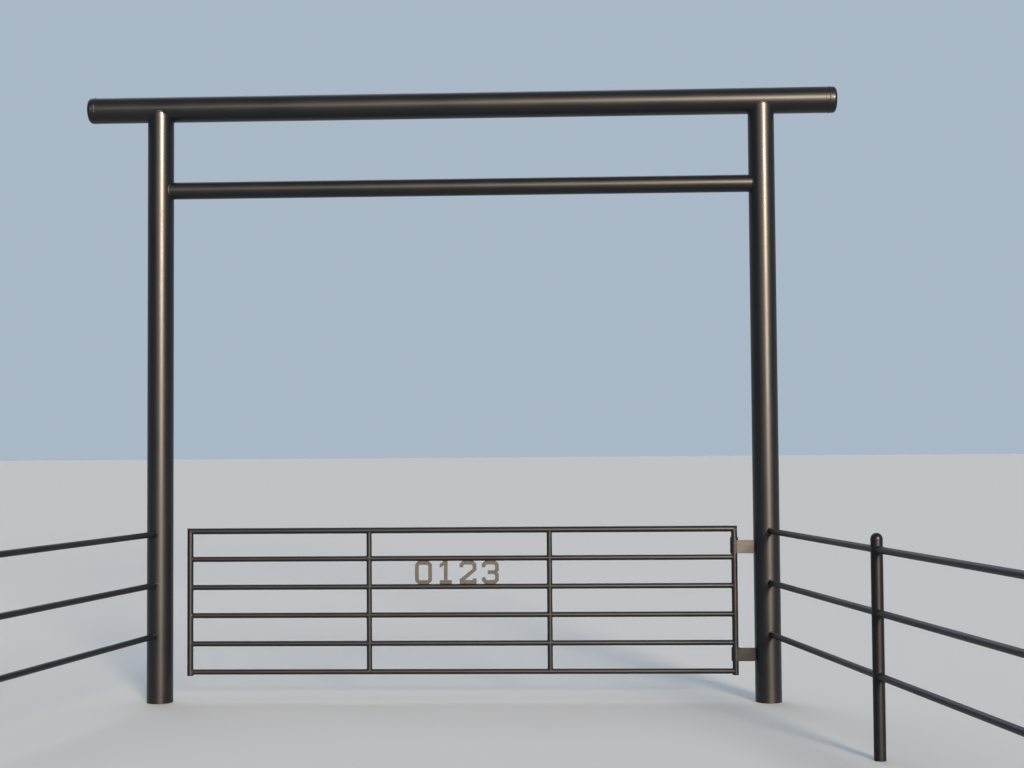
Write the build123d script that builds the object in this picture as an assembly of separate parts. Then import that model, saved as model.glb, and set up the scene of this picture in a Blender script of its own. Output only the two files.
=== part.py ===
from build123d import *
import os
from math import cos, radians, sin

# Ranch gateway of welded round pipe: two tall posts under a capped header pipe,
# a lighter beam below the header, a six-rail swing gate between the posts and
# a three-rail pipe fence that flares out from each post towards the road.
# Millimetres, +Z up. X runs along the gate, -Y is the road side.
# The origin is the centre of the hinge post's foot at ground level.

# Main posts and header
CLEAR_OPENING = 4877.0         # between the faces of the two main posts, 16 ft
MAIN_PIPE_OD = 219.1
MAIN_PIPE_WALL = 6.4
HEADER_RIGHT_OVERHANG = 571.0  # from the hinge post's axis to the cut end of the header pipe
HEADER_LEFT_OVERHANG = 556.0   # the same at the latch post
POST_FOOT_THICKNESS = 10.0     # plate that closes the foot of a post

# Dished caps on the ends of the header
HEADER_CAP_LENGTH = 67.0
HEADER_CAP_CROWN = 14.0        # rise of the shallow crown
HEADER_CAP_KNUCKLE = 30.0      # radius between the skirt and the crown

# Lower beam, and the bay between it and the header
BEAM_OD = 146.0
BEAM_WALL = 6.6
HEADROOM = 4253.0              # from the ground to the underside of the beam
SIGN_BAY_HEIGHT = 515.0        # from the top of the beam to the underside of the header

# Swing gate: stiles and top rail of one tube, the other rails and the uprights of a lighter one
GATE_FRAME_OD = 50.8
GATE_FRAME_WALL = 3.2
GATE_RAIL_OD = 44.5
GATE_RAIL_WALL = 2.8
GATE_RAIL_COUNT = 6            # with the top rail
GATE_RAIL_SPACING = 236.0
GATE_BOTTOM_RAIL_HEIGHT = 251.0
GATE_UPRIGHT_COUNT = 2
GATE_UPRIGHT_SPACING = 1515.0  # laid out from the latch stile
STILE_DROP = 9.0               # how far the stiles run below the bottom rail's underside
STILE_CAP_THICKNESS = 4.0      # flat plate that closes the foot of a stile
HINGE_SETBACK = 269.0          # hinge post's axis to hinge stile's axis
LATCH_GAP = 122.0              # latch post's face to the latch stile

# Hinges: a plate and a sleeve fixed to the post, in which the stile turns
HINGE_PLATE_THICKNESS = 10.0
HINGE_PLATE_HEIGHT = 110.0
HINGE_PLATE_FORWARD = 26.0     # from the gate's line to the middle of the plate, on the road side
UPPER_HINGE_LIFT = 10.0        # from the rail below it up to the upper hinge
LOWER_HINGE_DROP = 18.0        # from the rail above it down to the lower hinge
SLEEVE_CLEARANCE = 0.85        # radial, between the stile and a sleeve's bore
SLEEVE_WALL = 8.0
UPPER_SLEEVE_RISE = 10.0       # how far the upper sleeve stands above its plate
THRUST_RING_HEIGHT = 12.0
THRUST_RING_WALL = 8.0
THRUST_GAP = 0.3               # running gap between the ring and the upper sleeve

# Fence wings
FENCE_POST_OD = 82.6
FENCE_POST_WALL = 5.5
FENCE_POST_RISE = 71.0         # from the top rail's axis to the seat of the domed cap
FENCE_CAP_WALL = 4.0
FENCE_RAIL_OD = 48.3
FENCE_RAIL_WALL = 3.7
FENCE_TOP_RAIL_HEIGHT = 1414.0
FENCE_RAIL_SPACING = 425.0
FENCE_RAIL_NAMES = ("top", "middle", "bottom")
WING_ANGLE = 10.3              # degrees outwards from square to the gate
BAYS_PER_WING = 2
RIGHT_BAY = 2440.0             # between post centres, 8 ft
LEFT_BAY = 3050.0              # between post centres, 10 ft

# Root gap that the weld fills where one piece is fitted to another
ROOT_GAP = 0.3

# Places worked out from the sizes above
main_r = MAIN_PIPE_OD / 2
latch_post_x = -(CLEAR_OPENING + MAIN_PIPE_OD)
beam_z = HEADROOM + BEAM_OD / 2
header_z = HEADROOM + BEAM_OD + SIGN_BAY_HEIGHT + main_r
hinge_stile_x = -HINGE_SETBACK
latch_stile_x = latch_post_x + main_r + LATCH_GAP + GATE_FRAME_OD / 2
gate_rail_z = [GATE_BOTTOM_RAIL_HEIGHT + i * GATE_RAIL_SPACING for i in range(GATE_RAIL_COUNT)]
top_rail_z = gate_rail_z[-1]
stile_bottom_z = gate_rail_z[0] - GATE_RAIL_OD / 2 - STILE_DROP
fence_post_height = FENCE_TOP_RAIL_HEIGHT + FENCE_POST_RISE


def bar(start, end, diameter):
    """A solid round bar from one point to another."""
    run = Vector(*end) - Vector(*start)
    return extrude(Plane(origin=start, z_dir=run.normalized()) * Circle(diameter / 2), run.length)


def pipe(start, end, outer, wall):
    """A straight pipe from one point to another."""
    return bar(start, end, outer) - bar(start, end, outer - 2 * wall)


def cope(start, end, outer):
    """The cutter that fits a pipe's end to a mating pipe, with the root gap of the weld."""
    return bar(start, end, outer + 2 * ROOT_GAP)


def upright_bar(x, y, bottom, top, diameter):
    return bar((x, y, bottom), (x, y, top), diameter)


def post_pipe(x, y, height, outer, wall, foot):
    """A post: a pipe on end whose foot is closed by a plate flush with the ground."""
    return upright_bar(x, y, 0, height, outer) - upright_bar(x, y, foot, height, outer - 2 * wall)


def turned(*profile):
    """A solid turned about Z from a closed profile of (radius, height) corners."""
    return revolve(make_face(Plane.XZ * Polyline(*profile, close=True)), Axis.Z)


def header_cap():
    """Dished end cap of the header on +Z: straight skirt, knuckle radius and shallow crown,
    hollowed by straight cuts that leave at least the pipe's wall."""
    shoulder = HEADER_CAP_LENGTH - HEADER_CAP_CROWN
    crown_radius = (main_r**2 + HEADER_CAP_CROWN**2) / (2 * HEADER_CAP_CROWN)
    half_x = main_r / 2
    half_z = HEADER_CAP_LENGTH - crown_radius + (crown_radius**2 - half_x**2) ** 0.5
    outline = Polyline((0, HEADER_CAP_LENGTH), (0, 0), (main_r, 0), (main_r, shoulder))
    outline += ThreePointArc((main_r, shoulder), (half_x, half_z), (0, HEADER_CAP_LENGTH))
    head = make_face(Plane.XZ * outline)
    corner = head.vertices().sort_by(Axis.X)[-2:].sort_by(Axis.Z)[-1]
    solid = revolve(fillet(corner, HEADER_CAP_KNUCKLE), Axis.Z)
    bore = main_r - MAIN_PIPE_WALL
    depth = HEADER_CAP_LENGTH - MAIN_PIPE_WALL
    return solid - turned(
        (0, 0),
        (bore, 0),
        (bore, shoulder - HEADER_CAP_KNUCKLE),
        (main_r - HEADER_CAP_KNUCKLE, depth - HEADER_CAP_CROWN / 2),
        (0, depth),
    )


def fence_cap():
    """Half-round cap of a fence post, seated on z = 0, hollowed by two straight cuts."""
    radius = FENCE_POST_OD / 2
    depth = radius - FENCE_CAP_WALL
    dome = split(Sphere(radius), Plane.XY, keep=Keep.TOP)
    return dome - turned(
        (0, 0), (depth, 0), (depth * cos(radians(45)), depth * sin(radians(45))), (0, depth)
    )


# Each node's name and its shape
nodes = {}

# Header and its caps
header_left_x = latch_post_x - HEADER_LEFT_OVERHANG
header_right_x = HEADER_RIGHT_OVERHANG
header_line = ((header_left_x, 0, header_z), (header_right_x, 0, header_z))
nodes["header_pipe"] = pipe(*header_line, MAIN_PIPE_OD, MAIN_PIPE_WALL)
seats = [
    Plane(origin=(x + out * ROOT_GAP, 0, header_z), x_dir=(0, 1, 0), z_dir=(out, 0, 0))
    for x, out in ((header_left_x, -1), (header_right_x, 1))
]
nodes["header_caps"] = Compound(children=[seat * header_cap() for seat in seats])

# Main posts, saddle cut to the header. The feather edges at the front and back of each saddle
# are squared off level with where the post's bore meets the header.
header_cope = cope(*header_line, MAIN_PIPE_OD)
saddle_tip_z = header_z - (main_r**2 - (main_r - MAIN_PIPE_WALL) ** 2) ** 0.5
for name, x in (("hinge_post", 0.0), ("latch_post", latch_post_x)):
    post = post_pipe(x, 0, saddle_tip_z, MAIN_PIPE_OD, MAIN_PIPE_WALL, POST_FOOT_THICKNESS)
    nodes[name] = post - header_cope
main_copes = {x: cope((x, 0, 0), (x, 0, header_z), MAIN_PIPE_OD) for x in (0.0, latch_post_x)}

# Lower beam, saddle cut to both posts
beam = pipe((latch_post_x, 0, beam_z), (0, 0, beam_z), BEAM_OD, BEAM_WALL)
for post_cope in main_copes.values():
    beam -= post_cope
nodes["lower_beam"] = beam

# Hinge plates and sleeves, fixed to the hinge post in the bays next to the top and bottom ones
sleeve_bore = GATE_FRAME_OD + 2 * SLEEVE_CLEARANCE
sleeve_od = sleeve_bore + 2 * SLEEVE_WALL
upper_hinge_bottom = gate_rail_z[-2] + GATE_RAIL_OD / 2 + UPPER_HINGE_LIFT
lower_hinge_bottom = gate_rail_z[1] - GATE_RAIL_OD / 2 - LOWER_HINGE_DROP - HINGE_PLATE_HEIGHT
hinges = (("upper", upper_hinge_bottom, UPPER_SLEEVE_RISE), ("lower", lower_hinge_bottom, 0.0))
for name, bottom, rise in hinges:
    top = bottom + HINGE_PLATE_HEIGHT
    sleeve = upright_bar(hinge_stile_x, 0, bottom, top + rise, sleeve_od)
    sleeve -= upright_bar(hinge_stile_x, 0, bottom, top + rise, sleeve_bore)
    plate = Pos(hinge_stile_x / 2, -HINGE_PLATE_FORWARD, (bottom + top) / 2) * Box(
        HINGE_SETBACK, HINGE_PLATE_THICKNESS, HINGE_PLATE_HEIGHT
    )
    plate -= main_copes[0.0]
    plate -= cope((hinge_stile_x, 0, bottom), (hinge_stile_x, 0, top), sleeve_od)
    nodes[f"{name}_hinge_sleeve"] = sleeve
    nodes[f"{name}_hinge_plate"] = plate

# Gate stiles, mitred at the top for the top rail and closed at the foot by a plate
stile_xs = {"hinge": hinge_stile_x, "latch": latch_stile_x}
mitres = [
    Plane(origin=(x, 0, top_rail_z), x_dir=(0, 1, 0), z_dir=(inward, 0, 1))
    for x, inward in zip(stile_xs.values(), (-1, 1))
]
tube_bottom = stile_bottom_z + STILE_CAP_THICKNESS
caps = []
for (name, x), mitre in zip(stile_xs.items(), mitres):
    stile_line = ((x, 0, tube_bottom), (x, 0, top_rail_z + GATE_FRAME_OD))
    stile = pipe(*stile_line, GATE_FRAME_OD, GATE_FRAME_WALL)
    nodes[f"gate_{name}_stile"] = split(stile, mitre.offset(-ROOT_GAP / 2), keep=Keep.BOTTOM)
    caps.append(upright_bar(x, 0, stile_bottom_z, tube_bottom, GATE_FRAME_OD))
nodes["gate_stile_caps"] = Compound(children=caps)

# Thrust ring that carries the gate on the upper hinge
ring_bottom = upper_hinge_bottom + HINGE_PLATE_HEIGHT + UPPER_SLEEVE_RISE + THRUST_GAP
ring_bore = GATE_FRAME_OD + 2 * ROOT_GAP
ring_line = ((hinge_stile_x, 0, ring_bottom), (hinge_stile_x, 0, ring_bottom + THRUST_RING_HEIGHT))
nodes["gate_thrust_ring"] = pipe(*ring_line, ring_bore + 2 * THRUST_RING_WALL, THRUST_RING_WALL)

# Lighter gate rails, saddle cut to the stiles
stile_copes = [cope((x, 0, 0), (x, 0, HEADROOM), GATE_FRAME_OD) for x in stile_xs.values()]
rail_lines = [((latch_stile_x, 0, z), (hinge_stile_x, 0, z)) for z in gate_rail_z]
light_rails = GATE_RAIL_COUNT - 1
for i in range(light_rails):
    rail = pipe(*rail_lines[i], GATE_RAIL_OD, GATE_RAIL_WALL)
    for stile_cope in stile_copes:
        rail -= stile_cope
    nodes[f"gate_rail_{i + 1}"] = rail

# Top rail of the gate, mitred to the stiles
top_rail = pipe(
    (latch_stile_x - GATE_FRAME_OD, 0, top_rail_z),
    (hinge_stile_x + GATE_FRAME_OD, 0, top_rail_z),
    GATE_FRAME_OD,
    GATE_FRAME_WALL,
)
for mitre in mitres:
    top_rail = split(top_rail, mitre.offset(ROOT_GAP / 2), keep=Keep.TOP)
nodes[f"gate_rail_{GATE_RAIL_COUNT}"] = top_rail

# Gate uprights, in pieces saddle cut between the rails
rail_ods = [GATE_RAIL_OD] * light_rails + [GATE_FRAME_OD]
rail_copes = [cope(*line, outer) for line, outer in zip(rail_lines, rail_ods)]
for n in range(GATE_UPRIGHT_COUNT):
    x = latch_stile_x + (n + 1) * GATE_UPRIGHT_SPACING
    pieces = []
    for i in range(light_rails):
        piece = pipe((x, 0, gate_rail_z[i]), (x, 0, gate_rail_z[i + 1]), GATE_RAIL_OD, GATE_RAIL_WALL)
        pieces.append(piece - rail_copes[i] - rail_copes[i + 1])
    nodes[f"gate_upright_{n + 1}"] = Compound(children=pieces)


def fence_wing(side, start_x, outward, bay):
    """One wing of fence: posts on a line that flares outwards, and rails cut in between them."""
    step_x = outward * sin(radians(WING_ANGLE)) * bay
    step_y = -cos(radians(WING_ANGLE)) * bay
    spots = [(start_x + i * step_x, i * step_y) for i in range(BAYS_PER_WING + 1)]
    copes = [main_copes[start_x]]
    for i, (x, y) in enumerate(spots[1:], start=1):
        nodes[f"{side}_fence_post_{i}"] = post_pipe(
            x, y, fence_post_height, FENCE_POST_OD, FENCE_POST_WALL, POST_FOOT_THICKNESS
        )
        copes.append(cope((x, y, 0), (x, y, fence_post_height), FENCE_POST_OD))
    cap_z = fence_post_height + ROOT_GAP
    nodes[f"{side}_fence_caps"] = Compound(
        children=[Pos(x, y, cap_z) * fence_cap() for x, y in spots[1:]]
    )
    for i in range(BAYS_PER_WING):
        for level, rail_name in enumerate(FENCE_RAIL_NAMES):
            z = FENCE_TOP_RAIL_HEIGHT - level * FENCE_RAIL_SPACING
            rail = pipe((*spots[i], z), (*spots[i + 1], z), FENCE_RAIL_OD, FENCE_RAIL_WALL)
            nodes[f"{side}_{rail_name}_rail_{i + 1}"] = rail - copes[i] - copes[i + 1]


fence_wing("right", 0.0, 1, RIGHT_BAY)
fence_wing("left", latch_post_x, -1, LEFT_BAY)

os.makedirs("parts", exist_ok=True)
for name, shape in nodes.items():
    export_step(shape, f"parts/{name}.step")
print(len(nodes), "nodes written")
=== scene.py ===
import math

import bpy
import numpy as np
from mathutils import Matrix, Vector


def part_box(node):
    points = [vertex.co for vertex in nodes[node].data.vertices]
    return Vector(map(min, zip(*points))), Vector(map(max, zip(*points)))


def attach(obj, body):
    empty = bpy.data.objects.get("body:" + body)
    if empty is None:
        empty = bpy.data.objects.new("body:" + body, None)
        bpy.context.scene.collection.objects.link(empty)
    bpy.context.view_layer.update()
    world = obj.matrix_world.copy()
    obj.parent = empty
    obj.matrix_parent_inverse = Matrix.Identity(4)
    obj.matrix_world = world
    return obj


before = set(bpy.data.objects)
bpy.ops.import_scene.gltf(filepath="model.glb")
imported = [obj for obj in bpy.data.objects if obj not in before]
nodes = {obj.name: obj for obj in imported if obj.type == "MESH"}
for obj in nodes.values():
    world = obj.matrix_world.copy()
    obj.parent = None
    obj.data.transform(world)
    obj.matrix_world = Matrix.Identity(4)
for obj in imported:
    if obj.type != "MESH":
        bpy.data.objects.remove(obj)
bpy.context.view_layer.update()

# Viewpoint
# The gateway is seen from the front, a little right of its middle and from just over head height,
# with the lens tipped slightly up so that the header is in the picture.
IMAGE_WIDTH_PX = 1024
FOCAL_LENGTH_PX = 1538
SENSOR_WIDTH_MM = 36.0
FARTHEST_SEEN = 1000
EYE = Vector((-1.6339, -12.9226, 2.1260))
TURN_LEFT = math.radians(2.119)
TIP_UP = math.radians(2.336)
LEAN_LEFT = math.radians(0.4154)

camera_data = bpy.data.cameras.new("viewpoint")
camera_data.sensor_width = SENSOR_WIDTH_MM
camera_data.lens = FOCAL_LENGTH_PX / IMAGE_WIDTH_PX * SENSOR_WIDTH_MM
camera_data.clip_end = FARTHEST_SEEN
camera = bpy.data.objects.new("viewpoint", camera_data)
bpy.context.scene.collection.objects.link(camera)
bpy.context.scene.camera = camera
aim = Matrix.Rotation(TURN_LEFT, 4, "Z") @ Matrix.Rotation(math.pi / 2 + TIP_UP, 4, "X")
camera.matrix_world = Matrix.Translation(EYE) @ aim @ Matrix.Rotation(-LEAN_LEFT, 4, "Z")

# Studio
# A wide pale floor in a room that is paler behind the gateway, with a warm softbox low behind the
# camera and a dimmer one at the back. A strip and a wide glow light nothing but the pipes' gloss.
FLOOR_HALF_WIDTH = 300.0
FLOOR_COLOUR = (0.80, 0.785, 0.765, 1)
FLOOR_ROUGHNESS = 0.9
PALE_ROOM = (0.40, 0.48, 0.57, 1)
DIM_ROOM = (0.19, 0.25, 0.32, 1)
DIM_TO_PALE = (-0.5, 0.4)
KEY_COLOUR = (1.0, 0.81, 0.62)
KEY_STRENGTH = 3.0
KEY_SPREAD = 12
KEY_AZIMUTH = 21
KEY_ELEVATION = 15
STRIP_STRENGTH = 10.0
STRIP_SPREAD = 10
BACK_COLOUR = (0.9, 0.95, 1.0)
BACK_STRENGTH = 0.6
BACK_SPREAD = 45
BACK_AZIMUTH = 200
BACK_ELEVATION = 40
GLOW_COLOUR = (1.0, 0.90, 0.78)
GLOW_RADIANCE = 5.8
GLOW_WIDTH = 56.0
GLOW_HEIGHT = 9.0
GLOW_AZIMUTH = -5
GLOW_DISTANCE = 60.0


def set_inputs(tree, made, values):
    """Sets a node's inputs, by name or number, to a value or to another node's output."""
    for key, value in values.items():
        if isinstance(value, bpy.types.NodeSocket):
            tree.links.new(value, made.inputs[key])
        else:
            made.inputs[key].default_value = value


def add_node(tree, kind, values=None, **settings):
    """A new shader node with its settings and inputs."""
    made = tree.nodes.new(kind)
    for key, value in settings.items():
        setattr(made, key, value)
    set_inputs(tree, made, values or {})
    return made


def remap(tree, value, source, target=(0.0, 1.0)):
    """A number carried in proportion from the range source to the range target, and held at its ends."""
    values = {"Value": value, 1: source[0], 2: source[1], 3: target[0], 4: target[1]}
    return add_node(tree, "ShaderNodeMapRange", values).outputs[0]


def mixed(tree, share, first, second):
    """A colour that is first at a share of 0 and second at a share of 1."""
    values = {0: share, 6: first, 7: second}
    return add_node(tree, "ShaderNodeMix", values, data_type="RGBA").outputs[2]


def new_material(name):
    """An empty procedural material, and its tree and surface shader."""
    material = bpy.data.materials.new(name)
    material.use_nodes = True
    tree = material.node_tree
    return material, tree, tree.nodes["Principled BSDF"]


def softbox(name, strength, colour, spread):
    """A distant soft lamp whose disc is spread degrees across."""
    lamp_data = bpy.data.lights.new(name, "SUN")
    lamp_data.energy = strength
    lamp_data.color = colour
    lamp_data.angle = math.radians(spread)
    return lamp_data


def hang_lamp(lamp_data, azimuth, elevation, distance=0.0, gloss_only=False):
    """Places a lamp that shines at the origin. Azimuth is turned from -Y towards +X, in degrees."""
    lamp = bpy.data.objects.new(lamp_data.name, lamp_data)
    turned, raised = math.radians(azimuth), math.radians(elevation)
    level = math.cos(raised)
    towards = Vector((math.sin(turned) * level, -math.cos(turned) * level, math.sin(raised)))
    lamp.location = towards * distance
    lamp.rotation_mode = "QUATERNION"
    lamp.rotation_quaternion = towards.to_track_quat("Z", "Y")
    lamp.visible_diffuse = not gloss_only
    lamp.visible_camera = False
    bpy.context.scene.collection.objects.link(lamp)


floor_corners = FLOOR_HALF_WIDTH * np.array([(-1, -1, 0), (1, -1, 0), (1, 1, 0), (-1, 1, 0)])
floor_mesh = bpy.data.meshes.new("floor")
floor_mesh.from_pydata(floor_corners.tolist(), [], [(0, 1, 2, 3)])
floor = bpy.data.objects.new("floor", floor_mesh)
bpy.context.scene.collection.objects.link(floor)
floor_material, tree, shader = new_material("pale_floor")
floor_finish = {"Base Color": FLOOR_COLOUR, "Roughness": FLOOR_ROUGHNESS, "Specular IOR Level": 0.0}
set_inputs(tree, shader, floor_finish)
floor_mesh.materials.append(floor_material)

room = bpy.data.worlds.new("room")
room.use_nodes = True
tree = room.node_tree
ray = add_node(tree, "ShaderNodeTexCoord")
direction = add_node(tree, "ShaderNodeSeparateXYZ", {0: ray.outputs["Generated"]})
pale_share = remap(tree, direction.outputs["Y"], DIM_TO_PALE)
set_inputs(tree, tree.nodes["Background"], {"Color": mixed(tree, pale_share, DIM_ROOM, PALE_ROOM)})
bpy.context.scene.world = room

key = softbox("key", KEY_STRENGTH, KEY_COLOUR, KEY_SPREAD)
hang_lamp(key, KEY_AZIMUTH, KEY_ELEVATION)
strip = softbox("strip", STRIP_STRENGTH, KEY_COLOUR, STRIP_SPREAD)
hang_lamp(strip, KEY_AZIMUTH, KEY_ELEVATION, gloss_only=True)
back = softbox("back", BACK_STRENGTH, BACK_COLOUR, BACK_SPREAD)
hang_lamp(back, BACK_AZIMUTH, BACK_ELEVATION)
glow = bpy.data.lights.new("glow", "AREA")
glow.shape = "RECTANGLE"
glow.size = GLOW_WIDTH
glow.size_y = GLOW_HEIGHT
glow.color = GLOW_COLOUR
glow.energy = GLOW_RADIANCE * math.pi * GLOW_WIDTH * GLOW_HEIGHT
hang_lamp(glow, GLOW_AZIMUTH, KEY_ELEVATION, GLOW_DISTANCE, gloss_only=True)
bpy.context.scene.view_settings.view_transform = "Standard"

# Painted pipes
# Steel line pipe and round tube, welded up and sprayed with charcoal satin enamel. The film has a
# fine orange peel, softly uneven gloss, a trace of dust on top, and splashed dust near the feet.
ENAMEL = (0.0045, 0.0056, 0.0080, 1)
ENAMEL_SPECULAR = 0.24
ENAMEL_COAT = 0.16
COAT_ROUGHNESS = 0.26
GLOSS_PATCHES_PER_M = 2.5
GLOSS_DETAIL = 5
GLOSS_CONTRAST = (0.3, 0.7)
GLOSSIEST = -0.04
DULLEST = 0.05
PEEL_PER_M = 240.0
PEEL_DETAIL = 1
PEEL_STRENGTH = 0.10
PEEL_HEIGHT = 0.0004
DUST = (0.24, 0.21, 0.17, 1)
DUST_ROUGHNESS = 0.5
DUST_PATCHES_PER_M = 18.0
DUST_DETAIL = 8
DUST_CONTRAST = (0.35, 0.75)
SETTLED_SHARE = 0.016
SETTLED_SLOPES = (0.4, 1.0)
SPLASH_SHARE = 0.03
SPLASH_HEIGHT = 0.45


def noise(tree, place, scale, detail):
    """Random soft patches at so many to the metre, as a share from 0 to 1."""
    values = {"Vector": place, "Scale": scale, "Detail": detail}
    return add_node(tree, "ShaderNodeTexNoise", values).outputs["Fac"]


def satin_enamel(name, roughness, film=1.0):
    """Sprayed enamel, with gloss in wide patches and the peel as its bump. The share of dust is its
    own small patches times the sum of splash, which fades with height, and settled dust, which
    grows with upward slope. A film under 1 is a thinner, flatter coat."""
    material, tree, shader = new_material(name)
    coords = add_node(tree, "ShaderNodeTexCoord")
    spot = coords.outputs["Object"]
    gloss_patches = noise(tree, spot, GLOSS_PATCHES_PER_M, GLOSS_DETAIL)
    gloss = remap(tree, gloss_patches, GLOSS_CONTRAST, (roughness + GLOSSIEST, roughness + DULLEST))
    peel = noise(tree, spot, PEEL_PER_M, PEEL_DETAIL)
    bump_values = {"Strength": PEEL_STRENGTH, "Distance": PEEL_HEIGHT, "Height": peel}
    bump = add_node(tree, "ShaderNodeBump", bump_values).outputs["Normal"]
    dust_patches = remap(tree, noise(tree, spot, DUST_PATCHES_PER_M, DUST_DETAIL), DUST_CONTRAST)
    place = add_node(tree, "ShaderNodeSeparateXYZ", {0: spot})
    splash = remap(tree, place.outputs["Z"], (0.0, SPLASH_HEIGHT), (SPLASH_SHARE, 0.0))
    slope = add_node(tree, "ShaderNodeSeparateXYZ", {0: coords.outputs["Normal"]})
    settled = remap(tree, slope.outputs["Z"], SETTLED_SLOPES, (0.0, SETTLED_SHARE))
    either = add_node(tree, "ShaderNodeMath", {0: splash, 1: settled}, operation="ADD").outputs[0]
    dust = add_node(tree, "ShaderNodeMath", {0: either, 1: dust_patches}, operation="MULTIPLY").outputs[0]
    dull_values = {0: dust, 1: DUST_ROUGHNESS, 2: gloss}
    dull = add_node(tree, "ShaderNodeMath", dull_values, operation="MULTIPLY_ADD").outputs[0]
    finish = {
        "Base Color": mixed(tree, dust, ENAMEL, DUST),
        "Roughness": dull,
        "Specular IOR Level": ENAMEL_SPECULAR * film,
        "Coat Weight": ENAMEL_COAT * film,
        "Coat Roughness": COAT_ROUGHNESS,
        "Normal": bump,
        "Coat Normal": bump,
    }
    set_inputs(tree, shader, finish)
    return material


def finish_nodes(material, names):
    """Gives a finish to CAD pieces by name."""
    for name in names:
        for material_slot in nodes[name].material_slots:
            material_slot.link = "OBJECT"
            material_slot.material = material


# Main posts, header and lower beam
# Two posts and a header of the same heavy pipe, and a lighter beam between the posts. The posts
# are saddle cut to the header and the beam to the posts, and all are welded round with a full bead.
MAIN_ROUGHNESS = 0.39
WELD_ROUGHNESS = 0.40
MAIN_WELD_WIDTH = 0.012
MAIN_WELD_RISE = 0.0028
MAIN_RIPPLE_PITCH = 0.0055
TIP_FILL_WIDTH = 0.007
TIP_FILL_SHARE = 0.84
RIPPLE_DEPTH = 0.22
RIPPLE_CURVE = 0.7
RINGS_PER_RIPPLE = 5
FEWEST_RINGS = 40
BEAD_SIDES = 10
END_RING_SHARE = 0.01
SADDLE_ROUNDING = 0.006
ARCH_POWER = 8
TURN_STEPS = 720

X, Y, Z = np.eye(3)
TURN = np.linspace(0, 2 * np.pi, TURN_STEPS, endpoint=False)


def unit(vectors):
    """Vectors divided by their lengths."""
    return vectors / np.linalg.norm(vectors, axis=-1, keepdims=True)


def middle(name):
    """The middle of a CAD piece's box."""
    low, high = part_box(name)
    return np.array((low + high) / 2)


def thickness(name, axis):
    """The size of a CAD piece's box along an axis, which is a straight pipe's diameter across it."""
    low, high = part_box(name)
    return high[axis] - low[axis]


def saddle(centre, branch, main, branch_radius, main_pipe_radius, tip=0.0):
    """The line on which a round branch meets a round main pipe at a right angle, and its outward
    normals. At angle turn round the branch it stands out sqrt(R^2 - r^2 sin^2 turn + rounding^2)
    from the centre, softened into a rounded arch where it would come nearer to it than tip."""
    side = np.cross(main, branch)
    across = branch_radius * np.sin(TURN)[:, None]
    out = np.sqrt(np.maximum(main_pipe_radius**2 - across**2, 0) + SADDLE_ROUNDING**2)
    out = (out**ARCH_POWER + tip**ARCH_POWER) ** (1 / ARCH_POWER)
    round_branch = branch_radius * np.cos(TURN)[:, None] * main + across * side
    round_main = out * branch + across * side
    normals = unit(round_branch / branch_radius + round_main / main_pipe_radius)
    return centre + out * branch + round_branch, normals


def bead(path, normals, width, rise, pitch, closed=True, sides=BEAD_SIDES):
    """A weld bead: an oval of the given width, which may vary, and rise, carried along a path and
    swelled by crescent ripples. At distance s and angle a round the oval, it stands off the path by
    (1 - depth (1 - |sin(pi s / pitch + curve cos^2 a)|)) times the oval, with the pitch eased to a
    whole number of ripples. The ends of an open bead are rounded over half its width."""
    rows = np.column_stack([path, normals, np.broadcast_to(width, len(path))])
    if closed:
        rows = np.vstack([rows, rows[:1]])
    steps = np.linalg.norm(np.diff(rows[:, :3], axis=0), axis=1)
    distance = np.concatenate([[0], np.cumsum(steps)])
    length = distance[-1]
    ripples = round(length / pitch)
    count = max(FEWEST_RINGS, ripples * RINGS_PER_RIPPLE)
    s = np.linspace(0, length, count, endpoint=not closed)
    rings = np.column_stack([np.interp(s, distance, column) for column in rows.T])
    line, up, widths = rings[:, :3], rings[:, 3:6], rings[:, 6:]
    if closed:
        along = unit(np.roll(line, -1, axis=0) - np.roll(line, 1, axis=0))
    else:
        along = unit(np.gradient(line, axis=0))
    up = unit(up - np.sum(up * along, axis=1, keepdims=True) * along)
    side = np.cross(along, up)
    s = s[:, None]
    a = np.linspace(0, 2 * np.pi, sides, endpoint=False)[None, :]
    ripple = np.abs(np.sin(np.pi * s / (length / ripples) + RIPPLE_CURVE * np.cos(a) ** 2))
    swell = 1 - RIPPLE_DEPTH * (1 - ripple)
    if not closed:
        from_end = np.clip(np.minimum(s, length - s) / (widths / 2), 0, 1)
        swell = swell * np.sqrt(np.clip(1 - (1 - from_end) ** 2, END_RING_SHARE**2, 1))
    across = (widths / 2 * np.cos(a))[..., None] * side[:, None]
    offset = across + rise * np.sin(a)[..., None] * up[:, None]
    return tube(line[:, None] + swell[..., None] * offset, closed)


def tube(points, closed):
    """Points and faces of a tube whose rows are rings. It closes on itself, or each end ring is
    filled with triangles to its middle, which are quads whose last two corners are the same."""
    rows, columns, _ = points.shape
    i = np.arange(rows if closed else rows - 1)[:, None]
    j = np.arange(columns)[None, :]
    below, right = (i + 1) % rows, (j + 1) % columns
    corners = [i * columns + j, below * columns + j, below * columns + right, i * columns + right]
    quads = np.stack([np.broadcast_to(c, (len(i), columns)) for c in corners], axis=-1).reshape(-1, 4)
    points_in_rows = points.reshape(-1, 3)
    if closed:
        return points_in_rows, quads
    first = np.arange(columns)
    last = first + (rows - 1) * columns
    first_middle = np.full(columns, rows * columns)
    last_middle = first_middle + 1
    start = np.column_stack([first, np.roll(first, -1), first_middle, first_middle])
    stop = np.column_stack([np.roll(last, -1), last, last_middle, last_middle])
    middles = np.stack([points[0].mean(axis=0), points[-1].mean(axis=0)])
    return np.vstack([points_in_rows, middles]), np.vstack([quads, start, stop])


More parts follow.
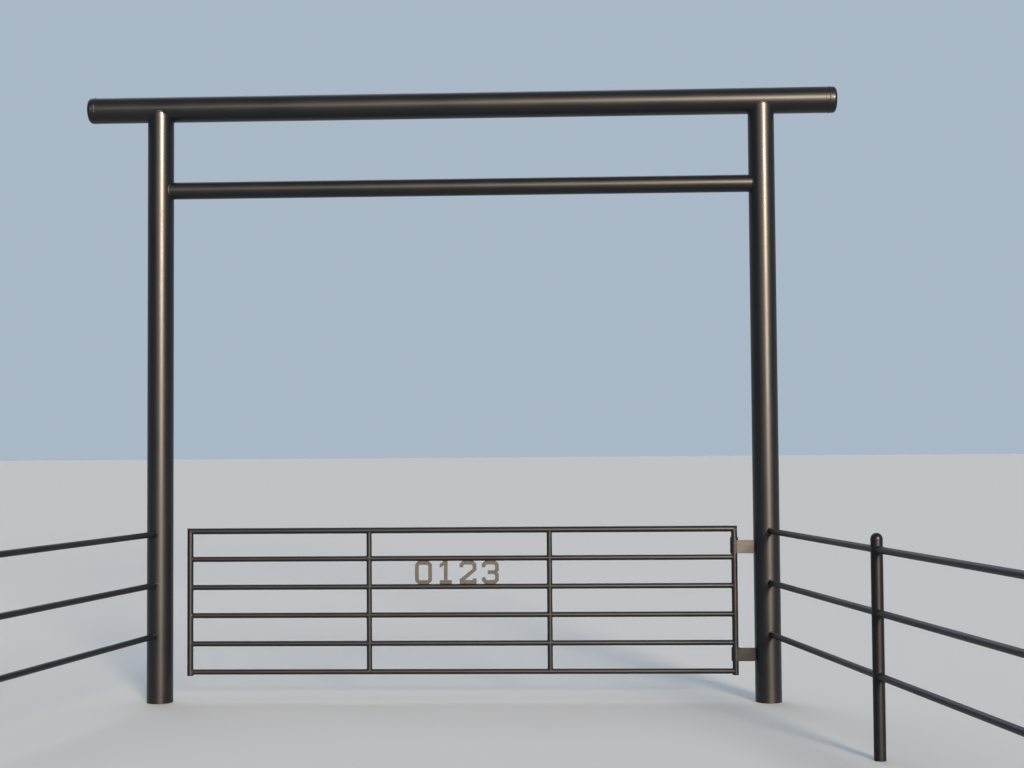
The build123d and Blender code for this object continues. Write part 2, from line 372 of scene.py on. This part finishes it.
def surface_piece(name, parts, material, body):
    """One object from several sets of points and quads. A quad whose last two corners are the
    same is a triangle."""
    points = np.vstack([part_points for part_points, _ in parts])
    starts = np.cumsum([0] + [len(part_points) for part_points, _ in parts[:-1]])
    quads = np.vstack([part_quads + start for (_, part_quads), start in zip(parts, starts)])
    sides = np.where(quads[:, 2] == quads[:, 3], 3, 4)
    loops = quads.ravel()[(np.arange(4)[None, :] < sides[:, None]).ravel()]
    mesh = bpy.data.meshes.new(name)
    mesh.vertices.add(len(points))
    mesh.vertices.foreach_set("co", points.astype(np.float32).ravel())
    mesh.loops.add(len(loops))
    mesh.loops.foreach_set("vertex_index", loops.astype(np.int32))
    mesh.polygons.add(len(sides))
    mesh.polygons.foreach_set("loop_start", (np.cumsum(sides) - sides).astype(np.int32))
    mesh.polygons.foreach_set("loop_total", sides.astype(np.int32))
    mesh.polygons.foreach_set("use_smooth", np.ones(len(sides), dtype=bool))
    mesh.update(calc_edges=True)
    mesh.validate()
    mesh.materials.append(material)
    piece = bpy.data.objects.new(name, mesh)
    bpy.context.scene.collection.objects.link(piece)
    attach(piece, body)


main_enamel = satin_enamel("main_pipe_enamel", MAIN_ROUGHNESS)
weld_enamel = satin_enamel("weld_enamel", WELD_ROUGHNESS)
finish_nodes(main_enamel, ["hinge_post", "latch_post", "header_pipe", "header_caps", "lower_beam"])

main_radius = thickness("hinge_post", 0) / 2
header_z = middle("header_pipe")[2]
beam_z = middle("lower_beam")[2]
beam_radius = thickness("lower_beam", 2) / 2
posts = {name: np.array([middle(name)[0], 0, 0]) for name in ("hinge_post", "latch_post")}
inward = {"hinge_post": -X, "latch_post": X}
main_bead = {"width": MAIN_WELD_WIDTH, "rise": MAIN_WELD_RISE, "pitch": MAIN_RIPPLE_PITCH}
# The squared tips of a post's saddle stand clear of the header's round, and the weld fills them.
post_tip = header_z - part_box("hinge_post")[1][2]
tip_fill = np.clip(1 - main_radius * np.abs(np.cos(TURN)) / post_tip, 0, 1)
arch_bead = {**main_bead, "width": MAIN_WELD_WIDTH + TIP_FILL_WIDTH * tip_fill}
parts = []
for name, foot in posts.items():
    top = foot + header_z * Z
    path, up = saddle(top, -Z, X, main_radius, main_radius, tip=post_tip * TIP_FILL_SHARE)
    parts.append(bead(path, up, **arch_bead))
    path, up = saddle(foot + beam_z * Z, inward[name], Z, beam_radius, main_radius)
    parts.append(bead(path, up, **main_bead))
surface_piece("main_welds", parts, weld_enamel, "root")

# Header caps
# Dished weld caps close the header's two ends. Each is butt welded to the pipe with one flat bead,
# ground lightly, and a faint line beside it is left where the pipe was dressed for the weld.
CAP_WELD_WIDTH = 0.013
CAP_WELD_RISE = 0.0022
DRESSED_LINE_OFFSET = 0.034
DRESSED_LINE_WIDTH = 0.004
DRESSED_LINE_RISE = 0.0006
DRESSED_LINE_SIDES = 6

cap_weld = {"width": CAP_WELD_WIDTH, "rise": CAP_WELD_RISE, "pitch": MAIN_RIPPLE_PITCH}
dressed_line = {
    "width": DRESSED_LINE_WIDTH,
    "rise": DRESSED_LINE_RISE,
    "pitch": MAIN_RIPPLE_PITCH,
    "sides": DRESSED_LINE_SIDES,
}


def ring(centre, axis, radius):
    """A circle round an axis, which isn't Y, and its outward normals. At angle turn, the normal is
    cos turn of one side plus sin turn of the other, and the point is a radius out along it."""
    side = np.cross(axis, Y)
    other = np.cross(axis, side)
    out = np.cos(TURN)[:, None] * side + np.sin(TURN)[:, None] * other
    return centre + radius * out, out


header_low, header_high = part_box("header_pipe")
parts = []
for x, outward in ((header_low[0], -1), (header_high[0], 1)):
    path, up = ring(np.array([x, 0, header_z]), X, main_radius)
    parts.append(bead(path, up, **cap_weld))
    line_x = x - outward * DRESSED_LINE_OFFSET
    path, up = ring(np.array([line_x, 0, header_z]), X, main_radius)
    parts.append(bead(path, up, **dressed_line))
surface_piece("header_cap_welds", parts, weld_enamel, "root")

# Fence wings
# Pipe fences flare out in front, under a thinner film of paint than the gateway has. Three rails a
# bay are cut in between the posts and welded round, and a half-round cap is welded on each post.
FENCE_ROUGHNESS = 0.42
FENCE_FILM = 0.7
RAIL_WELD_WIDTH = 0.010
RAIL_WELD_RISE = 0.003
RAIL_RIPPLE_PITCH = 0.0038

fence_enamel = satin_enamel("fence_enamel", FENCE_ROUGHNESS, FENCE_FILM)
rail_bead = {"width": RAIL_WELD_WIDTH, "rise": RAIL_WELD_RISE, "pitch": RAIL_RIPPLE_PITCH}
cap_bead = {**rail_bead, "rise": RAIL_WELD_RISE / 2}
for side, start in (("right", posts["hinge_post"]), ("left", posts["latch_post"])):
    fence_posts = [f"{side}_fence_post_{n}" for n in (1, 2)]
    finish_nodes(fence_enamel, fence_posts + [f"{side}_fence_caps"])
    post_radius = thickness(fence_posts[0], 0) / 2
    cap_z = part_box(fence_posts[0])[1][2]
    spots = [start] + [middle(name) * (1, 1, 0) for name in fence_posts]
    parts = []
    for spot in spots[1:]:
        path, up = ring(spot + cap_z * Z, Z, post_radius)
        parts.append(bead(path, up, **cap_bead))
    for bay in (1, 2):
        near, far = spots[bay - 1], spots[bay]
        run = unit(far - near)
        near_radius = main_radius if bay == 1 else post_radius
        for level in ("top", "middle", "bottom"):
            rail = f"{side}_{level}_rail_{bay}"
            finish_nodes(fence_enamel, [rail])
            z, radius = middle(rail)[2], thickness(rail, 2) / 2
            path, up = saddle(near + z * Z, run, Z, radius, near_radius)
            parts.append(bead(path, up, **rail_bead))
            path, up = saddle(far + z * Z, -run, Z, radius, post_radius)
            parts.append(bead(path, up, **rail_bead))
    surface_piece(f"{side}_fence_welds", parts, weld_enamel, "root")

# Hinges
# Each hinge is a thick-walled sleeve round the gate's stile on a flat bar that is welded to the
# post. The upper bar was left bare and has weathered pale, and the lower one was sprayed dark.
BARE_STEEL = (0.185, 0.162, 0.160, 1)
BARE_STEEL_DARK = (0.120, 0.102, 0.100, 1)
BARE_METALLIC = 0.1
BARE_ROUGHNESS = 0.70
DULL_PLATE = (0.018, 0.0175, 0.016, 1)
DULL_METALLIC = 0.0
DULL_ROUGHNESS = 0.6
PLATE_SPECULAR = 0.25
CLOUDS_PER_M = 28.0
CLOUD_DETAIL = 8
MARKS_PER_M = (6, 90, 160)
MARK_DETAIL = 3
STEEL_CONTRAST = (0.75, 1.25)
CLOUD_CONTRAST = (0.3, 0.7)
ROUGHNESS_SWING = 0.08
SCALE_STRENGTH = 0.25
SCALE_HEIGHT = 0.0005
GATE_ROUGHNESS = 0.42
PLATE_WELD_WIDTH = 0.012
PLATE_WELD_RISE = 0.0035
PLATE_WELD_POINTS = 50

plate_bead = {
    "width": PLATE_WELD_WIDTH,
    "rise": PLATE_WELD_RISE,
    "pitch": MAIN_RIPPLE_PITCH,
    "closed": False,
}


def weathered_steel(name, pale, dark, metallic, roughness):
    """Flat steel bar or plate: mill scale in soft clouds plus long faint rolling marks along X, which
    together set the colour from dark to pale and the bump. The clouds alone set the roughness."""
    material, tree, shader = new_material(name)
    spot = add_node(tree, "ShaderNodeTexCoord").outputs["Object"]
    clouds = noise(tree, spot, CLOUDS_PER_M, CLOUD_DETAIL)
    drawn_out = add_node(tree, "ShaderNodeMapping", {"Vector": spot, "Scale": MARKS_PER_M})
    marks = noise(tree, drawn_out.outputs["Vector"], 1.0, MARK_DETAIL)
    both = add_node(tree, "ShaderNodeMath", {0: clouds, 1: marks}, operation="ADD").outputs[0]
    pale_share = remap(tree, both, STEEL_CONTRAST)
    rough_range = (roughness - ROUGHNESS_SWING, roughness + ROUGHNESS_SWING)
    bump_values = {"Strength": SCALE_STRENGTH, "Distance": SCALE_HEIGHT, "Height": both}
    finish = {
        "Base Color": mixed(tree, pale_share, dark, pale),
        "Metallic": metallic,
        "Roughness": remap(tree, clouds, CLOUD_CONTRAST, rough_range),
        "Specular IOR Level": PLATE_SPECULAR,
        "Normal": add_node(tree, "ShaderNodeBump", bump_values).outputs["Normal"],
    }
    set_inputs(tree, shader, finish)
    return material


bare_steel = weathered_steel("bare_bar_steel", BARE_STEEL, BARE_STEEL_DARK, BARE_METALLIC, BARE_ROUGHNESS)
dull_plate = weathered_steel("dull_sprayed_bar", DULL_PLATE, ENAMEL, DULL_METALLIC, DULL_ROUGHNESS)
gate_enamel = satin_enamel("gate_enamel", GATE_ROUGHNESS)
finish_nodes(bare_steel, ["upper_hinge_plate"])
finish_nodes(dull_plate, ["lower_hinge_plate"])
finish_nodes(gate_enamel, ["upper_hinge_sleeve", "lower_hinge_sleeve", "gate_thrust_ring"])

stile_spot = middle("gate_hinge_stile") * (1, 0, 0)
parts = []
for level in ("upper", "lower"):
    plate_low, plate_high = (np.array(corner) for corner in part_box(f"{level}_hinge_plate"))
    sleeve_radius = thickness(f"{level}_hinge_sleeve", 0) / 2
    joints = ((posts["hinge_post"], main_radius, -X), (stile_spot, sleeve_radius, X))
    for y, face in ((plate_low[1], -Y), (plate_high[1], Y)):
        for centre, radius, towards in joints:
            # The plate's face meets a round of radius R at sqrt(R^2 - y^2) from the round's centre.
            corner = centre + towards * np.sqrt(radius**2 - y**2) + y * Y
            line = corner + np.linspace(plate_low[2], plate_high[2], PLATE_WELD_POINTS)[:, None] * Z
            up = np.broadcast_to(unit(face + towards), line.shape)
            parts.append(bead(line, up, **plate_bead))
surface_piece("hinge_plate_welds", parts, weld_enamel, "root")

# Swing gate
# A welded gate of round tube: stiles and top rail of the heavier tube, mitred at the corners, with
# five lighter rails and two uprights saddle cut in between. Each joint is welded round and painted.
GATE_WELD_WIDTH = 0.009
GATE_WELD_RISE = 0.0026
GATE_RIPPLE_PITCH = 0.0034
MITRE_DRESSED_SHARE = 0.6
RAILS = 6

gate_rails = [f"gate_rail_{n}" for n in range(1, RAILS + 1)]
gate_uprights = ["gate_upright_1", "gate_upright_2"]
finish_nodes(gate_enamel, ["gate_hinge_stile", "gate_latch_stile", "gate_stile_caps"])
finish_nodes(gate_enamel, gate_rails + gate_uprights)
gate_bead = {"width": GATE_WELD_WIDTH, "rise": GATE_WELD_RISE, "pitch": GATE_RIPPLE_PITCH}
stile_radius = thickness("gate_hinge_stile", 0) / 2
rails = [(middle(rail)[2], thickness(rail, 2) / 2) for rail in gate_rails]


def mitre(corner, across, radius):
    """The line on which a stile that hangs from a corner and a rail that runs across from it meet
    at 45 degrees, and its outward normals. Going round, it falls as far as it comes inwards."""
    inwards, along_y = np.cos(TURN)[:, None], np.sin(TURN)[:, None]
    path = corner + radius * (inwards * (across - Z) + along_y * Y)
    return path, unit(inwards * (across - Z) + 2 * along_y * Y)


# The mitre's weld is dressed down round the outer corner, where a proud bead would catch a rope.
mitre_width = GATE_WELD_WIDTH * (1 - MITRE_DRESSED_SHARE * np.clip(-np.cos(TURN), 0, 1))
mitre_bead = {**gate_bead, "width": mitre_width}
parts = []
for stile, towards in (("gate_hinge_stile", -X), ("gate_latch_stile", X)):
    spot = middle(stile) * (1, 0, 0)
    for z, radius in rails[:-1]:
        path, up = saddle(spot + z * Z, towards, Z, radius, stile_radius)
        parts.append(bead(path, up, **gate_bead))
    path, up = mitre(spot + rails[-1][0] * Z, towards, stile_radius)
    parts.append(bead(path, up, **mitre_bead))
surface_piece("gate_rail_welds", parts, weld_enamel, "gate")

parts = []
for upright in gate_uprights:
    spot = middle(upright) * (1, 0, 0)
    upright_radius = thickness(upright, 0) / 2
    for lower, upper in zip(rails[:-1], rails[1:]):
        for (z, rail_radius), towards in ((lower, Z), (upper, -Z)):
            path, up = saddle(spot + z * Z, towards, X, upright_radius, rail_radius)
            parts.append(bead(path, up, **gate_bead))
surface_piece("gate_upright_welds", parts, weld_enamel, "gate")

thrust_ring_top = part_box("gate_thrust_ring")[1][2]
path, up = ring(stile_spot + thrust_ring_top * Z, Z, stile_radius)
parts = [bead(path, unit(up + Z), **gate_bead)]
surface_piece("thrust_ring_weld", parts, weld_enamel, "gate")

# Number plates
# Four figures flat cut from steel plate stand between two rails of the gate, left bare, and each
# is held by small tacks at its head and foot. The figures are plain ones of the builder's choice.
CUT_STEEL = (0.098, 0.090, 0.082, 1)
CUT_STEEL_DARK = (0.064, 0.058, 0.053, 1)
CUT_METALLIC = 0.15
CUT_ROUGHNESS = 0.6
RAIL_UNDER_FIGURES = 4
FIRST_FIGURE_X = -2.9375
FIGURE_PITCH = 0.187
FIGURE_WIDTH = 0.142
STROKE = 0.031
CHAMFER = 0.026
INNER_CHAMFER = 0.010
TERMINAL = 0.028
ONE_INSET = 0.14
FLAG_DROP = 1.25
DIAGONAL_START = 1.45
DIAGONAL_UNDERSIDE = 0.6
DIAGONAL_TOP = 0.95
DIAGONAL_END = 1.2
WAIST_NOTCH = 1.3
ARM_START = 0.35
PLATE_THICKNESS = 0.008
EDGE_BREAK = 0.0006
TACK_LENGTH = 0.018
TACK_WIDTH = 0.008
TACK_RISE = 0.0035
TACK_POINTS = 30
SPREAD_TACKS = (0.3, 0.7)
STEM_TACK = (0.5,)

plate_steel = weathered_steel("cut_plate_steel", CUT_STEEL, CUT_STEEL_DARK, CUT_METALLIC, CUT_ROUGHNESS)
tack_bead = {"width": TACK_WIDTH, "rise": TACK_RISE, "pitch": GATE_RIPPLE_PITCH, "closed": False}
(under_z, under_radius), (over_z, over_radius) = rails[RAIL_UNDER_FIGURES - 1 : RAIL_UNDER_FIGURES + 1]
foot_z = under_z + under_radius
head_z = over_z - over_radius


def chamfered(left, bottom, right, top, cut):
    """A rectangle with its four corners cut off at 45 degrees."""
    return [
        (left + cut, bottom),
        (right - cut, bottom),
        (right, bottom + cut),
        (right, top - cut),
        (right - cut, top),
        (left + cut, top),
        (left, top - cut),
        (left, bottom + cut),
    ]


def figure_outlines(width, height):
    """Outlines of the figures 0 to 3 in a box of the given size, as places (x, z) in it. The 2 and
    the 3 have the same hooked head, and the foot of the 3 is its head upside down."""
    half = height / 2
    inner_right, inner_top = width - STROKE, height - STROKE
    nought = [
        chamfered(0, 0, width, height, CHAMFER),
        chamfered(STROKE, STROKE, inner_right, inner_top, INNER_CHAMFER),
    ]
    shoulder = height - CHAMFER
    inset = width * ONE_INSET
    stem_left, stem_right = (width - STROKE) / 2, (width + STROKE) / 2
    one = [
        (inset, 0),
        (width - inset, 0),
        (width - inset, STROKE),
        (stem_right, STROKE),
        (stem_right, height),
        (stem_left, height),
        (inset, shoulder),
        (inset, shoulder - STROKE),
        (stem_left, height - STROKE * FLAG_DROP),
        (stem_left, STROKE),
        (inset, STROKE),
    ]
    head = [
        (width, shoulder),
        (width - CHAMFER, height),
        (CHAMFER, height),
        (0, shoulder),
        (0, shoulder - TERMINAL),
        (STROKE, shoulder - TERMINAL),
        (STROKE, inner_top - INNER_CHAMFER),
        (STROKE + INNER_CHAMFER, inner_top),
        (inner_right - INNER_CHAMFER, inner_top),
        (inner_right, inner_top - INNER_CHAMFER),
    ]
    two = [
        (0, 0),
        (width, 0),
        (width, STROKE + TERMINAL / 2),
        (inner_right, STROKE + TERMINAL / 2),
        (inner_right, STROKE),
        (STROKE * DIAGONAL_START, STROKE),
        (width, half + STROKE * DIAGONAL_UNDERSIDE),
        *head,
        (inner_right, half + STROKE * DIAGONAL_TOP),
        (0, STROKE * DIAGONAL_END),
    ]
    notch = INNER_CHAMFER * WAIST_NOTCH
    waist = [(width, half - notch), (width - notch, half), (width, half + notch)]
    arm_top, arm_foot = half + STROKE / 2, half - STROKE / 2
    arm = [
        (inner_right, arm_top + INNER_CHAMFER),
        (inner_right - INNER_CHAMFER, arm_top),
        (width * ARM_START, arm_top),
        (width * ARM_START, arm_foot),
        (inner_right - INNER_CHAMFER, arm_foot),
        (inner_right, arm_foot - INNER_CHAMFER),
    ]
    foot = [(x, height - z) for x, z in reversed(head)]
    three = waist + head + arm + foot
    return [nought, [one], [two], [three]]


def cut_plate(name, outlines, place):
    """A figure cut from plate: its outlines filled as a flat curve, thickened and its edges broken."""
    curve = bpy.data.curves.new(name, "CURVE")
    curve.dimensions = "2D"
    curve.fill_mode = "BOTH"
    curve.extrude = PLATE_THICKNESS / 2 - EDGE_BREAK
    curve.bevel_depth = EDGE_BREAK
    curve.bevel_resolution = 1
    curve.offset = -EDGE_BREAK
    for outline in outlines:
        spline = curve.splines.new("POLY")
        spline.points.add(len(outline) - 1)
        spline.points.foreach_set("co", [value for x, z in outline for value in (x, z, 0, 1)])
        spline.use_cyclic_u = True
    flat = bpy.data.objects.new(name, curve)
    bpy.context.scene.collection.objects.link(flat)
    mesh = bpy.data.meshes.new_from_object(flat.evaluated_get(bpy.context.evaluated_depsgraph_get()))
    bpy.data.objects.remove(flat)
    mesh.name = name
    mesh.transform(Matrix.Translation(place) @ Matrix.Rotation(math.pi / 2, 4, "X"))
    mesh.materials.clear()
    mesh.materials.append(plate_steel)
    piece = bpy.data.objects.new(name, mesh)
    bpy.context.scene.collection.objects.link(piece)
    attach(piece, "gate")


figures = figure_outlines(FIGURE_WIDTH, head_z - foot_z)
tack_shares = (SPREAD_TACKS, STEM_TACK, SPREAD_TACKS, SPREAD_TACKS)
parts = []
for n, (outlines, shares) in enumerate(zip(figures, tack_shares)):
    left = FIRST_FIGURE_X + n * FIGURE_PITCH
    cut_plate(f"number_plate_{n + 1}", outlines, Vector((left, 0, foot_z)))
    for share in shares:
        start_x = left + share * FIGURE_WIDTH - TACK_LENGTH / 2
        for z, inwards in ((foot_z, Z), (head_z, -Z)):
            for face in (-Y, Y):
                start = np.array([start_x, 0, z]) + face * PLATE_THICKNESS / 2
                line = start + np.linspace(0, TACK_LENGTH, TACK_POINTS)[:, None] * X
                up = np.broadcast_to(unit(face + inwards), line.shape)
                parts.append(bead(line, up, **tack_bead))
surface_piece("number_plate_tacks", parts, weld_enamel, "gate")
